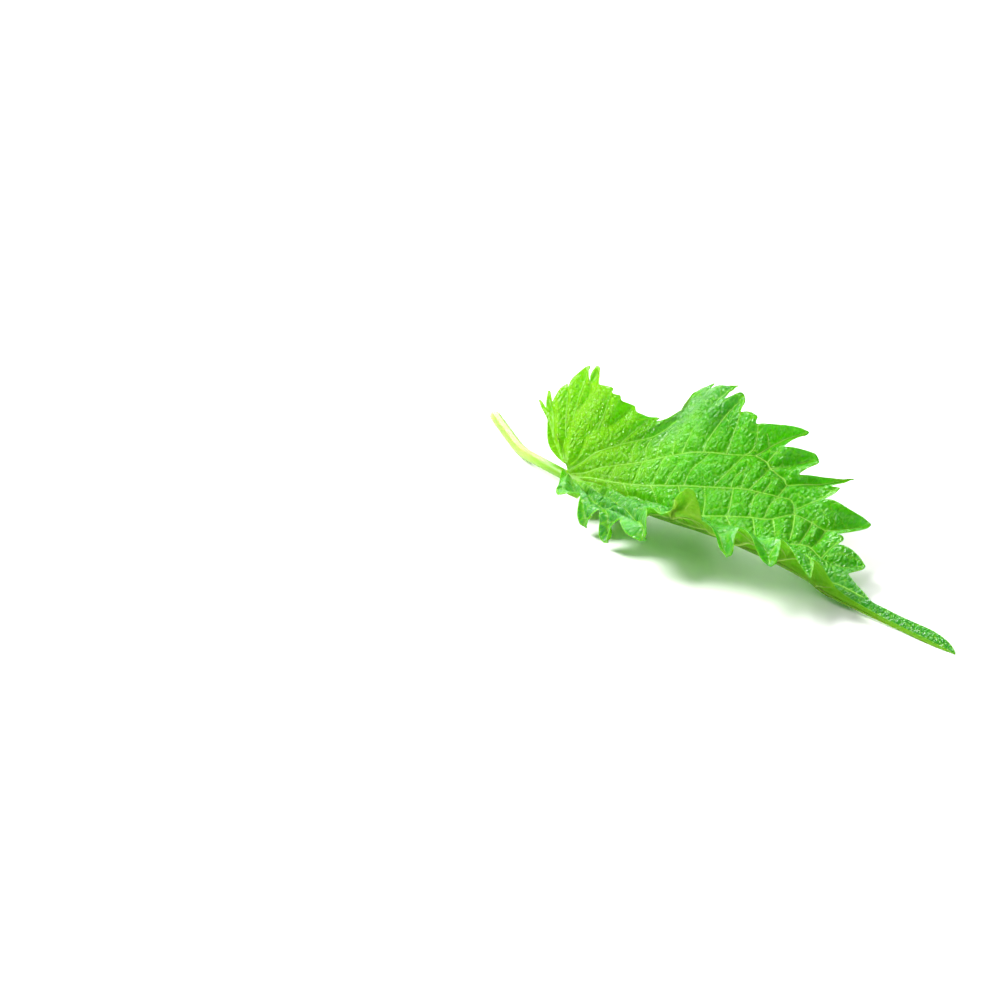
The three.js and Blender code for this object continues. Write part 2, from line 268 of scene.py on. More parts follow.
def half_columns(teeth, tip_points, count):
    """The edge, inner line and foot at evenly spaced places along the softened edge of one half."""
    edge, inner, foot = half_edge(teeth, tip_points)
    walked = walked_along(edge, 1e-6)
    fine, soft = softened(edge, walked, EDGE_SPREAD)
    even = np.linspace(0, walked[-1], count)
    pick = lambda values, at: np.stack([np.interp(even, at, axis) for axis in values.T], -1)
    _, soft_inner = softened(inner, walked, INNER_SPREAD)
    return pick(soft, fine), pick(soft_inner, fine), np.interp(even, walked, foot)


def flat_grid(teeth, tip_points, sign, count, inner_rows, outer_rows):
    """Flat places of one half on a grid: columns from the midrib to the edge, rows side by side with the
    edge. A row lies between the foot and the inner line, and past it between the inner line and the
    edge."""
    edge, inner, foot = half_columns(teeth, tip_points, count)
    root = np.stack([foot, np.zeros(count)], -1)[:, None]
    within = np.linspace(0, 1, inner_rows + 1)[None, :, None]
    beyond = np.linspace(0, 1, outer_rows + 1)[None, 1:, None]
    inner, edge = inner[:, None], edge[:, None]
    flat = np.concatenate([root + (inner - root) * within, inner + (edge - inner) * beyond], 1)
    flat[..., 1] *= sign
    return flat


left_flat = flat_grid(LEFT_TEETH, LEFT_TIP, 1, count=580, inner_rows=56, outer_rows=24)
right_flat = flat_grid(RIGHT_TEETH, RIGHT_TIP, -1, count=500, inner_rows=58, outer_rows=26)
print("grid of the left half:", left_flat.shape[:2], "and of the right:", right_flat.shape[:2])

# %% [markdown]
# ## Veins
# Two pairs of strong side veins leave the midrib close to the stalk and run far forward, each sending
# branches to the teeth on its outer side. Further on, weaker ones follow. Beside a tooth they bend, meet
# the next vein in a loop and send a last piece into the tooth's tip. The routes are short lists of flat
# places, drawn as smooth curves. The first number of each is its rank: 1 for the strong ones, 2 for
# branches.

# %% Routes of the veins, in millimetres along and across
LEFT_VEINS = [
    (1, [(1.2, 0), (4.1, 1.6), (9.6, 5.6), (16.6, 10.2), (22.3, 12.4), (27.2, 14.2), (31.9, 15.7),
        (35.2, 17.2), (37.2, 18.3)]),
    (1, [(37.2, 18.3), (39.9, 18.3), (41.1, 17.5), (42.9, 19.3), (44.7, 21.8), (46.1, 24.3), (46.7, 24.9)]),
    (1, [(37.2, 18.3), (38.3, 21.5), (39.8, 24.5), (41.3, 27.2), (42.1, 28.3)]),
    (1, [(2, 0), (9, 0.8), (18.1, 3), (27.2, 6), (33.4, 8.1), (39.7, 10.6), (43.1, 11.5), (46.3, 12.6),
        (49, 13.4), (51.7, 10.8)]),
    (1, [(41.1, 17.4), (43, 17.2), (44.9, 17), (45.9, 16.2), (48.5, 18.5), (50.9, 21.1), (53, 25.3)]),
    (1, [(32, 0), (35.1, 1.1), (39.9, 3.3), (44.6, 5.4), (48.2, 7), (51.7, 10.8), (55.1, 11.6),
        (58.2, 12.2), (60.2, 15.4), (61.9, 19.6)]),
    (1, [(51, 0), (54.5, 3), (57.2, 5), (59.2, 5.9), (62.2, 5.3), (64.8, 6.1), (66.9, 7.4), (68.9, 9.7)]),
    (2, [(65, 0), (69, 1.8), (75, 2)]),
    (1, [(0, 0.2), (-0.4, 4), (-0.6, 8.5), (1, 11.1), (3.3, 13.3), (4.5, 18)]),
    (2, [(1, 11.1), (0.8, 14), (0.5, 18.8)]),
    (1, [(0, 0.2), (-3, 2.5), (-5.7, 6), (-6.5, 11.4), (-6.1, 15), (-6, 22.4)]),
    (2, [(-6.4, 11), (-7.8, 16), (-8.1, 21.6)]),
    (1, [(0, 0.2), (-4, 2.6), (-8, 5.5), (-12, 9), (-15.2, 10.8)]),
    (2, [(-8, 5.5), (-11, 10), (-13.6, 13)]),
    (2, [(-6, 7), (-8.5, 11.5), (-10.3, 15.8)]),
    (1, [(0.5, 0.1), (1.2, 2.6), (2.6, 5.3), (5.9, 8.8), (9, 12.6), (11.6, 16.2), (13, 21.9)]),
    (2, [(7, 10), (7.6, 13.5), (8.8, 18.2)]),
    (1, [(22.3, 12.4), (21.7, 15.9), (21.3, 19.7), (22.4, 25), (25.2, 29.4)]),
    (1, [(27.2, 14.2), (26.7, 16.5), (27.2, 22), (27.6, 25), (28.6, 28.6)]),
    (2, [(31.9, 15.8), (31.3, 19.4), (30.6, 23), (29.5, 27.4)]),
    (2, [(35.2, 17.2), (36, 19), (35.4, 22), (34, 24.9)]),
    (2, [(38.3, 21.5), (37.5, 22.7), (36.7, 23.5)]),
    (2, [(39.9, 18.3), (40.1, 19.8), (40.4, 21.3)]),
    (2, [(23, 4.7), (23, 6.9), (23.3, 10.7)]),
    (2, [(27.2, 6), (26.9, 8.5), (27.2, 10.4), (28.2, 12.7), (28.6, 14.6)]),
    (2, [(33.4, 8.2), (33.7, 9.8), (34.4, 12.3), (35.2, 17)]),
    (2, [(36.8, 9.4), (36.3, 12), (37.4, 14.6)]),
    (2, [(38.9, 10.2), (38.3, 12), (38.3, 14.9)]),
    (1, [(40.4, 11), (40.9, 14.2), (41.1, 17.4)]),
    (2, [(43.3, 11.7), (43.3, 14.8)]),
    (2, [(46.2, 12.7), (46.2, 14.5), (45.9, 16.2)]),
    (2, [(50.9, 12.2), (52.2, 14.5), (53.5, 16.5), (53.7, 19.3), (53.7, 20.9)]),
    (2, [(48.8, 7.3), (50.6, 5.4), (52, 3.7)]),
    (1, [(51.7, 10.7), (53.4, 7.8), (54.8, 4.8)]),
    (1, [(55.4, 11.6), (56.3, 8), (56.9, 5.3)]),
    (1, [(58.3, 12.2), (58.9, 9), (59.2, 6.1)]),
    (2, [(62.2, 5.5), (62.2, 7.5), (62.5, 9.6)]),
    (2, [(11.9, 7.5), (10.1, 10.7), (9.6, 13)]),
    (2, [(14.5, 9.2), (12.4, 12.2), (11.6, 15)]),
    (2, [(16.6, 10.2), (14.8, 14), (14.2, 18), (14, 22)]),
    (2, [(20.2, 11.6), (18.6, 14.8), (17, 19), (15.4, 25), (15.2, 31.4)]),
    (2, [(9.4, 5.4), (10.2, 3), (10.5, 1)]),
    (2, [(14, 8.7), (15.4, 5.4), (16, 2.5)]),
    (2, [(18.5, 11), (19.6, 7), (20.2, 3.7)]),
    (2, [(14, 1.9), (15.5, 0.8), (17, 0)]),
    (2, [(20, 3.6), (22.5, 1.8), (24.5, 0)]),
    (2, [(26, 5.6), (28.6, 3), (31, 0)]),
    (2, [(31.5, 7.5), (33.8, 4.5), (35.5, 1.3)]),
    (2, [(37.2, 9.8), (39.2, 6), (40.2, 3.5)]),
    (2, [(42.5, 11.3), (42.7, 9.1), (44.4, 5.4)]),
    (2, [(46.6, 12.6), (46.3, 10), (47.1, 6.6)]),
    (2, [(40, 3.3), (42.4, 1.6), (45, 0)]),
    (2, [(45, 5.6), (47.6, 2.8), (50, 0)]),
]
RIGHT_VEINS = [
    (1, [(0.3, 0.1), (1.6, 3), (3.4, 6.5), (6.3, 10)]),
    (1, [(1, 0), (4, 2.6), (8, 6), (12.4, 9.6), (15.5, 14.8)]),
    (1, [(1.6, 0), (8, 3.2), (14, 7), (20, 11.6), (22.8, 18.2)]),
    (1, [(2.4, 0), (12, 2.6), (20, 6.4), (28, 13), (33, 18.6), (35.8, 23.8)]),
    (1, [(14, 0), (24, 4), (33, 10), (39, 16), (42, 22.6)]),
    (1, [(28, 0), (36, 4), (44, 10), (50, 16), (54.6, 21.2)]),
    (1, [(42, 0), (48, 4), (54, 9.5), (59, 14.5), (61.9, 18.1)]),
    (1, [(54, 0), (58, 3), (62, 7), (66, 11), (69.1, 14.8)]),
    (2, [(66, 0), (69, 2), (71, 3.2)]),
    (2, [(5, 7.6), (8, 6.2), (9.6, 4)]),
    (2, [(11, 9), (14, 7.6), (15.6, 4.6)]),
    (2, [(14.2, 13), (18, 12), (21, 7.2)]),
    (2, [(20, 14), (24, 13.6), (27, 12), (28.6, 7)]),
    (2, [(22.4, 18.8), (26, 17), (29.5, 14.2)]),
    (2, [(29, 13.8), (33, 13), (35, 11.6), (37, 4.6)]),
    (2, [(32.6, 17.6), (37, 16.4), (39, 16)]),
    (2, [(37, 14), (41, 12.6), (43, 9.2)]),
    (2, [(40.4, 17.6), (44, 16.2), (47, 13)]),
    (2, [(46, 12), (49, 10.6), (51, 6.6)]),
    (2, [(51, 17), (54, 14.2), (56, 11.4)]),
    (2, [(56, 11.4), (59, 9), (60.5, 5.4)]),
    (2, [(61, 16.8), (60.8, 12.6), (63.4, 8.4)]),
    (2, [(20, 2.4), (22, 1.2), (24, 0)]),
    (2, [(33, 2.5), (35, 1.2), (37, 0)]),
    (2, [(46, 2.6), (48, 1.2), (50, 0)]),
]


# %% Routes as smooth curves
def evenly(line, count):
    """The given number of places at equal distances along a line of many."""
    walked = walked_along(line)
    even = np.linspace(0, walked[-1], count)
    return np.stack([np.interp(even, walked, axis) for axis in line.T], -1)


def smooth_route(points, step=0.35):
    """Places one step apart on the smooth curve through a route's points."""
    points = np.array(points, float)
    fine = through(points, np.linspace(0, len(points) - 1, 40 * len(points)))
    return evenly(fine, max(4, int(walked_along(fine)[-1] / step)))


def tooth_veins(teeth, drawn, reached=2.2):
    """A vein for every tooth whose tip no drawn one has reached: from the middle between its valleys to
    nine tenths of the way to its tip."""
    valleys = [(0.0, 1.0)] + [inner_side[-1] for _, inner_side in teeth]
    veins = []
    for k, (outer_side, _) in enumerate(teeth):
        tip, middle = np.array(outer_side[-1]), np.add(valleys[k], valleys[k + 1]) / 2 * 0.95
        if min(np.hypot(*(np.array(route[-1]) - tip)) for _, route in drawn) > reached:
            veins.append((2, [tuple(middle), tuple(0.9 * tip + 0.1 * middle)]))
    return veins


MIDRIB = (1, [(0, 0), (24, 0), (48, 0), (72, 0), (96, 0)])
left_veins = LEFT_VEINS + tooth_veins(LEFT_TEETH, LEFT_VEINS) + [MIDRIB]
right_veins = RIGHT_VEINS + tooth_veins(RIGHT_TEETH, RIGHT_VEINS) + [MIDRIB]
left_routes = [(rank, smooth_route(p)) for rank, p in left_veins]
right_routes = [(rank, smooth_route(p) * [1, -1]) for rank, p in right_veins]
print(len(left_routes), "veins on the left,", len(right_routes), "on the right")


# %% [markdown]
# ## Relief
# Between its veins a shiso leaf is quilted: every vein is sewn down, and the tissue puffs up beside it. How
# far a place is from the nearest vein therefore says nearly all about its height. The relief is a sum of
# such puffs: one beside the strong veins, one beside all the drawn veins, and two finer ones inside a net
# of cells round scattered seeds. The teeth are folded on top of that, and short sharp creases are pressed
# in along the midrib and behind the teeth of the right half.

# %% Distance from the veins and from the net
def distance_to(lines, flat):
    """Shortest distance from every flat place to the lines: for each stretch of a line, the distance to the
    nearest point between its ends."""
    best = np.full(flat.shape[:-1], 99.0)
    for line in lines:
        line = np.concatenate([line[:-1:3], line[-1:]]) if len(line) > 8 else line
        for a, b in zip(line[:-1], line[1:]):
            d = b - a
            t = np.clip(((flat - a) @ d) / max(d @ d, 1e-9), 0, 1)
            best = np.minimum(best, np.hypot(flat[..., 0] - a[0] - t * d[0], flat[..., 1] - a[1] - t * d[1]))
    return best


def net_border(flat, cell, seed, turn=28):
    """Distance to the border between the two nearest seeds: half the difference of the two distances. The
    seeds are shaken from a square grid that is stretched and turned to lie across the side veins."""
    turn = np.radians(turn)
    x = (flat[..., 0] * np.cos(turn) + np.abs(flat[..., 1]) * np.sin(turn)) / cell[0]
    y = (-flat[..., 0] * np.sin(turn) + np.abs(flat[..., 1]) * np.cos(turn)) / cell[1]
    shake = np.random.default_rng(seed).random((256, 256, 2)) * 0.8 + 0.1
    i, j = np.floor(x).astype(int), np.floor(y).astype(int)
    first, second = np.full(x.shape, 9.0), np.full(x.shape, 9.0)
    for di in (-1, 0, 1):
        for dj in (-1, 0, 1):
            s = shake[(i + di) % 256, (j + dj) % 256]
            d = np.hypot(x - i - di - s[..., 0], y - j - dj - s[..., 1])
            second = np.minimum(second, np.maximum(first, d))
            first = np.minimum(first, d)
    return (second - first) / 2 * min(cell)


def curled(flat):
    """Share of its full turn that the curled tooth has at flat places. It is 0 everywhere else."""
    return np.where(flat[..., 1] < 0, curl(flat[..., 0], np.abs(flat[..., 1])), 0) / CURLED_TOOTH["turn"]


# %% Puffs and creases of the two halves, in millimetres
# A puff is given by its depth and width, a cell by its two sides, a crease by its depth, width and line.
STRONG_PUFF, WIDE_PUFF, FINE_PUFF = (0.6, 3.2), (0.35, 0.6), (0.14, 0.3)
WIDE_CELL, FINE_CELL = (2.1, 3.3), (1.15, 1.5)
PILLOW_WIDTH, GUTTER_WIDTH, RIM_FADE = 1.1, 2.0, 0.8
CREASES = [
    (1.0, 0.5, [(8, -3.2), (10.8, -3.4), (12.4, -2.2)]),
    (1.2, 0.45, [(14.7, -0.8), (17.1, -0.2)]),
    (1.2, 0.45, [(18.3, -0.1), (20.8, 0.1)]),
    (1.2, 0.45, [(22, 0.2), (24.8, 0.5)]),
    (0.8, 0.5, [(16.9, -8), (18.8, -9.1)]),
    (1.3, 0.5, [(20.6, -10.1), (22.5, -10.9)]),
    (1.3, 0.5, [(23.4, -11.2), (25.9, -12.2), (29, -13.4)]),
]


def puffed(distance, depth, width):
    """A puff beside a vein: depth * (1 - exp(-distance / width))."""
    return depth * (1 - np.exp(-distance / width))


def bell_shape(distance, width):
    """1 at no distance, falling off as exp(-(distance / width)^2)."""
    return np.exp(-((distance / width) ** 2))


class Half:
    """One half of the blade: its edge, its veins, the height of the pillows between the veins, the depth of
    the gutter in each tooth."""

    def __init__(self, flat, routes, pillow, gutter):
        self.edge, self.routes, self.pillow, self.gutter = flat[::2, -1], routes, pillow, gutter

    def relief(self, flat):
        """Height of the quilting over the bent sheet, and the distances and creases behind it. Puffs are
        added up, creases cut in with a bell shape, and both fade out towards the rim. Each tooth is folded
        like a gutter: its sides rise evenly from its vein to its edge, by more where the tooth is wide, but
        not in the smooth strip that leads to the tip on the right, and hardly on the crest of the left
        half. All of it is lower in the long tip and in the curled tooth."""
        strong = distance_to([r for rank, r in self.routes if rank == 1], flat)
        drawn = np.minimum(strong, distance_to([r for rank, r in self.routes if rank == 2], flat))
        rim = distance_to([self.edge], flat)
        wide = net_border(flat, WIDE_CELL, 3)
        fine = net_border(flat, FINE_CELL, 5, 20)
        along, reach = flat[..., 0], np.abs(flat[..., 1])
        folded = 1 - smooth_step(rim, 2, 8)
        grown = 0.4 + 0.6 * smooth_step(along + 0.8 * reach, 14, 32)
        quilted = grown * (0.35 + 0.65 * smooth_step(rim, 0.5, 5))
        near = np.hypot(drawn, 0.2) - 0.2
        puff = puffed(strong, *STRONG_PUFF) + puffed(near, self.pillow, PILLOW_WIDTH)
        puff += quilted * puffed(np.minimum(wide, near), *WIDE_PUFF)
        puff += quilted * puffed(np.minimum(fine, near), *FINE_PUFF)
        creased = [bell_shape(distance_to([np.array(line)], flat), width) for _, width, line in CREASES]
        puff -= sum(depth * share for (depth, _, _), share in zip(CREASES, creased))
        puff = (puff - self.pillow) * puffed(rim, 1, RIM_FADE)
        span = np.maximum(strong + rim, 0.01)
        crest = smooth_step(along, 5, 10) - smooth_step(along, 26, 30)
        toothed = np.where(flat[..., 1] < 0, 1 - smooth_step(along - 0.8 * reach, 46, 56), 1 - 0.85 * crest)
        puff += puffed(span, self.gutter, GUTTER_WIDTH) * toothed * folded * (strong / span - 0.5)
        full = 1 - 0.85 * smooth_step(along, 62, 84)
        net = np.minimum(wide, fine + 0.1)
        fields = {"strong": strong, "vein": drawn, "rim": rim, "net": net, "crease": np.max(creased, axis=0)}
        return puff * full * (1 - 0.8 * curled(flat)), fields


left = Half(left_flat, left_routes, pillow=0.85, gutter=2.2)
right = Half(right_flat, right_routes, pillow=1.1, gutter=2.4)
left_relief, right_relief = left.relief(left_flat), right.relief(right_flat)
print("relief of the left half: %.2f to %.2f mm" % (left_relief[0].min(), left_relief[0].max()))

# %% [markdown]
# ## The blade
# Each half is one closed skin. Its profile goes out along the upper face, round the rim and back along the
# lower face, and the columns carry it from the stalk to the tip. A leaf is thinner than the solid here, and
# thinnest at its rim. Both faces share the relief, so what is sunken above stands out below.

# %% Meshes from arrays
MM = 0.001
UV_SCALE, UV_MIDRIB = 100, 0.4
UV_SHIFT = [0.3, UV_MIDRIB]


def put_in_scene(name, data):
    """A new object at the origin that shows a mesh, a lamp or a camera."""
    made = bpy.data.objects.new(name, data)
    bpy.context.scene.collection.objects.link(made)
    return made


def new_piece(name, points, faces, flat=None, fields=None, material_of_face=None):
    """A mesh object at the origin from points in millimetres of the leaf's own frame. Flat places become
    its UV map."""
    mesh = bpy.data.meshes.new(name)
    placed = (points.reshape(-1, 3) + FOOT_OF_BLADE) * MM
    mesh.from_pydata(placed.tolist(), [], faces)
    if flat is not None:
        corners = np.empty(len(mesh.loops), int)
        mesh.loops.foreach_get("vertex_index", corners)
        uv = mesh.uv_layers.new(name="flat")
        places = flat.reshape(-1, 2)[corners] / UV_SCALE + UV_SHIFT
        uv.data.foreach_set("uv", places.astype(np.float32).ravel())
    for field, values in (fields or {}).items():
        attribute = mesh.attributes.new(field, "FLOAT", "POINT")
        attribute.data.foreach_set("value", values.astype(np.float32).ravel())
    if material_of_face is not None:
        mesh.polygons.foreach_set("material_index", material_of_face.astype(np.int32))
    mesh.polygons.foreach_set("use_smooth", np.ones(len(mesh.polygons), bool))
    mesh.update()
    piece = put_in_scene(name, mesh)
    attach(piece, "root")
    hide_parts("leaf")
    return piece


def ring_faces(rings, sides):
    """Quads between neighbouring rings of points, each ring closed on itself."""
    k, j = np.meshgrid(np.arange(rings - 1), np.arange(sides), indexing="ij")
    n = (j + 1) % sides
    ring, following = k * sides, (k + 1) * sides
    return np.stack([ring + j, following + j, following + n, ring + n], -1).reshape(-1, 4)


# %% The two halves
THICKNESS, RIM_THICKNESS, RIM_TAPER, RIM_ROUNDING = 0.3, 0.12, 0.4, 0.07
SWELL_DEPTH, SWELL_WIDTH = 0.3, 0.55


def half_skin(name, flat, relief, sign):
    """Closed skin of one half: bent sheet + normal * (relief +- half the thickness), with one more place
    outside the edge that rounds the rim. Below, the skin swells in a bell shape along the strong veins. The
    right half's faces are listed the other way round, so that they point outwards too."""
    heights, distances = relief
    middle = bent(flat[..., 0], flat[..., 1])
    normal = upper_normal(flat[..., 0], flat[..., 1])
    fading = 1 - smooth_step(flat[..., 0], 60, 90)
    swell = SWELL_DEPTH * bell_shape(distances["strong"], SWELL_WIDTH) * fading
    half = (RIM_THICKNESS + puffed(distances["rim"], THICKNESS - RIM_THICKNESS, RIM_TAPER)) / 2
    upper = middle + normal * (heights + half)[..., None]
    lower = middle + normal * (heights - half - swell)[..., None]
    outward = unit(middle[:, -1] - middle[:, -3]) * RIM_ROUNDING
    turn = ((upper + lower) / 2)[:, -1] + outward
    profile = np.concatenate([upper, turn[:, None], lower[:, ::-1]], 1)
    profile[..., 2] = np.maximum(profile[..., 2], 0.0)
    both = lambda a: np.concatenate([a, a[:, -1:], a[:, ::-1]], 1)
    (columns, sides), rows = profile.shape[:2], flat.shape[1]
    first = np.arange(sides)
    last = (columns - 1) * sides + first
    ladder = lambda r: np.stack([r[: rows - 1], r[1:rows], r[::-1][1:rows], r[::-1][: rows - 1]], -1)
    quads = np.concatenate([ring_faces(columns, sides), ladder(first), ladder(last)[:, ::-1]])[:, ::sign]
    rim = [rows - 1, rows, rows + 1]
    tips = [rim[::sign], last[rim[::-sign]].tolist()]
    material = np.zeros(len(quads) + len(tips), int)
    material[: (columns - 1) * sides] = np.tile(first >= rows, columns - 1)
    fields = {name: both(values) for name, values in distances.items()}
    return new_piece(name, profile, quads.tolist() + tips, both(flat), fields, material)


blade_left = half_skin("blade_left", left_flat, left_relief, 1)
blade_right = half_skin("blade_right", right_flat, right_relief, -1)
for half in (blade_left, blade_right):
    print(half.name, len(half.data.polygons) * 2, "triangles")

# %% [markdown]
# ## Veins that stand out
# From above, a vein is a fine pale cord at the bottom of its groove. Below, it is a round rib that carries
# the blade. Both are thin tubes with six sides, carried along the routes and partly sunk in the skin,
# thinner towards their ends. As tubes they stay sharp where a colour on the skin would blur. The midrib has
# a cord from 30 to 94 mm along and no rib, because the stalk's own rod goes on below it.

# %% Tubes along the routes
def turns(sides):
    """The turn of every side of a ring, beginning at its right."""
    return np.arange(sides) * 2 * np.pi / sides


def tube(centres, up, radii, sides):
    """Rings of points round the centres: centre + radius * (cos(turn) * side + sin(turn) * up), where side
    and up are made square to the way forward. A ring has one radius or one for each of its sides, and
    nothing goes below the table."""
    forward = unit(np.gradient(centres, axis=0))
    side = unit(np.cross(forward, up))
    up = np.cross(side, forward)
    cosines, sines = np.cos(turns(sides))[:, None], np.sin(turns(sides))[:, None]
    rings = centres[:, None] + (side[:, None] * cosines + up[:, None] * sines) * radii[..., None]
    rings[..., 2] = np.maximum(rings[..., 2], 0.0)
    return rings


def is_inside(places, edge):
    """Whether flat places lie between the midrib and the edge: a line drawn forwards from each crosses the
    outline an odd number of times."""
    outline = np.concatenate([[[0.0, 0.0]], edge, [[BLADE_LENGTH, 0.0]]])
    a, b = outline, np.roll(outline, -1, axis=0)
    x, y = places[:, None, 0], places[:, None, 1]
    spans = (a[None, :, 1] > y) != (b[None, :, 1] > y)
    rise = np.where(b[:, 1] == a[:, 1], 1e-9, b[:, 1] - a[:, 1])
    meets = a[None, :, 0] + (y - a[None, :, 1]) * (b[:, 0] - a[:, 0])[None] / rise[None]
    return (spans & (x < meets)).sum(1) % 2 == 1


# %% One vein
EDGE_GAP, VEIN_SIDES, CORD_LIFT, RIB_DROP = 0.35, 6, 0.35, 0.12


def clipped(route, half):
    """The part of a route before it leaves the blade or comes too close to the edge."""
    inside = is_inside(route, half.edge) | (np.abs(route[:, 1]) < 0.3)
    good = inside & (distance_to([half.edge], route) > EDGE_GAP)
    last = len(good) if good[1:].all() else 1 + int(np.argmin(good[1:]))
    return route[:last]


def vein_tube(route, half, face, start, end):
    """One vein as rings of points: it follows the relief's valley on the upper face (1) or the lower face
    (-1), and its radius goes evenly from start to end. It is thinner in the curled tooth, and on the upper
    face of the right half near the stalk."""
    along, across = route[:, 0], route[:, 1]
    height = half.relief(route)[0]
    normal = upper_normal(along, across)
    share = np.linspace(0, 1, len(route))
    faint = 0.65 * (1 - smooth_step(along, 18, 42)) if face > 0 and half is right else 0
    radii = (start + (end - start) * share) * (1 - 0.7 * curled(route)) * (1 - faint)
    out = THICKNESS / 2 + CORD_LIFT * radii + (0 if face > 0 else RIB_DROP)
    centres = bent(along, across) + normal * (height + face * out)[:, None]
    return tube(centres, normal, radii[:, None], VEIN_SIDES)


def joined(all_rings):
    """Points and faces of many tubes in one mesh, each closed by a face at both ends."""
    points, faces, at = [], [], 0
    for rings in all_rings:
        count, sides = rings.shape[:2]
        faces += (ring_faces(count, sides) + at).tolist()
        ends = [list(range(sides)), list(range((count - 1) * sides, count * sides))[::-1]]
        faces += [[i + at for i in end] for end in ends]
        points.append(rings.reshape(-1, 3))
        at += count * sides
    return np.concatenate(points), faces


# %% All veins, in two pieces
# Radii are those at the start and at the end of a tube, by its rank.
CORD_RADII, MIDRIB_CORD_RADII = {1: (0.165, 0.11), 2: (0.125, 0.09)}, (0.12, 0.08)
RIB_RADII = {1: (0.42, 0.08), 2: (0.2, 0.06)}
SLIM = {left: 1.0, right: 0.7}
MIDRIB_PART = slice(85, -6)
kept = [(half, rank, clipped(route, half)) for half in (left, right) for rank, route in half.routes[:-1]]
kept = [(half, rank, route) for half, rank, route in kept if len(route) > 5]
upper_tubes, lower_tubes = [], []
for half, rank, route in kept:
    upper_tubes.append(vein_tube(route, half, 1, *np.multiply(CORD_RADII[rank], SLIM[half])))
    lower_tubes.append(vein_tube(route, half, -1, *RIB_RADII[rank]))
upper_tubes.append(vein_tube(smooth_route(MIDRIB[1])[MIDRIB_PART], left, 1, *MIDRIB_CORD_RADII))
veins_above = new_piece("veins_above", *joined(upper_tubes))
ribs_below = new_piece("ribs_below", *joined(lower_tubes))
print(len(veins_above.data.polygons), "and", len(ribs_below.data.polygons), "faces of veins")

# %% [markdown]
# ## The stalk
# The stalk lies on the table at its cut end, lifts to the foot of the blade and goes on below it as the
# midrib. It is nearly round, with a shallow channel along its top. One tube does all of it, along the same
# route as in the solid, and it hangs a little lower where the crease runs beside the midrib.

# %% Stalk and midrib
STALK_RADIUS, MIDRIB_END_RADIUS, MIDRIB_END, TABLE_BITE = 1.15, 0.35, 84.0, 0.15
MIDRIB_STEP, MIDRIB_LOWEST, MIDRIB_GAP = 7.0, -0.9, 0.08
CHANNEL_DEPTH, CHANNEL_WIDTH, RIDGE_HEIGHT, RIDGES = 0.16, 0.42, 0.018, 7
# The cut end is hollowed by two rings, each given by its share of the full size and its depth.
CUT_RINGS, CUT_FADE = [(0.3, 0.22), (0.8, 0.05)], 120
UP = np.array([0.0, 0.0, 1.0])
STALK_ROUTE = [(-34, 15, 0), (-27, 11, 0), (-18, 6, 0.3), (-9, 1.6, 2.5)]


def rod_radius(along):
    """Radius over the midrib: full up to the foot of the blade, then a straight taper, and a quicker one
    towards the end, where the midrib runs out in the blade."""
    straight = STALK_RADIUS + (MIDRIB_END_RADIUS - STALK_RADIUS) * np.clip(along / MIDRIB_END, 0, 1)
    return straight * (1 - 0.75 * smooth_step(along, 55, MIDRIB_END))


def stalk_rings(count=260, sides=28):
    """Rings round the smooth curve through the route, and the share of the way at which each lies: radius *
    (1 - channel + ridges), the channel a bell shape on top and the ridges a cosine round the ring. Both
    fade out under the blade, where the rod is buried by about its radius."""
    start = [(x, y, STALK_RADIUS - TABLE_BITE + lift) for x, y, lift in STALK_ROUTE]
    along = np.arange(0, MIDRIB_END + 1, MIDRIB_STEP)
    buried = 1.0 + 0.9 * smooth_step(along, 1, 9) - 0.8 * smooth_step(along, 30, 40)
    relief = left.relief(np.stack([along, 0 * along], -1))[0]
    sunk = np.maximum(relief, MIDRIB_LOWEST) - buried * rod_radius(along) - MIDRIB_GAP
    under = bent(along, 0 * along) + upper_normal(along, 0 * along) * sunk[:, None]
    route = np.concatenate([start, under])
    centres = evenly(through(route, np.linspace(0, len(route) - 1, 2000)), count)
    from_top = np.abs((turns(sides) + np.pi / 2) % (2 * np.pi) - np.pi)
    shape = RIDGE_HEIGHT * np.cos(RIDGES * turns(sides)) - CHANNEL_DEPTH * bell_shape(from_top, CHANNEL_WIDTH)
    free = 1 - smooth_step(centres[:, 0], -6, 2)
    radii = rod_radius(centres[:, 0])[:, None] * (1 + shape * free[:, None])
    return tube(centres, UP, radii, sides), np.linspace(0, 1, count)


rings, share = stalk_rings()
middle = rings[0].mean(0)
hollow = [middle + (rings[0] - middle) * size + [depth, 0, 0] for size, depth in CUT_RINGS]
closed = np.concatenate([np.array(hollow), rings])
cut = np.repeat(np.concatenate([np.ones(len(hollow)), np.exp(-share * CUT_FADE)]), closed.shape[1])
stalk = new_piece("stalk", *joined([closed]), fields={"cut": cut})
print("stalk and midrib:", len(stalk.data.polygons), "faces")

# %% [markdown]
# ## Shader arithmetic
# A finish is easier to read as a formula than as a web of nodes. A small class stands for one output of a
# node, and writing a sum or a product of such values adds the Math node for it. Colours are mixed with a
# Mix node, because a Math node would turn them grey.

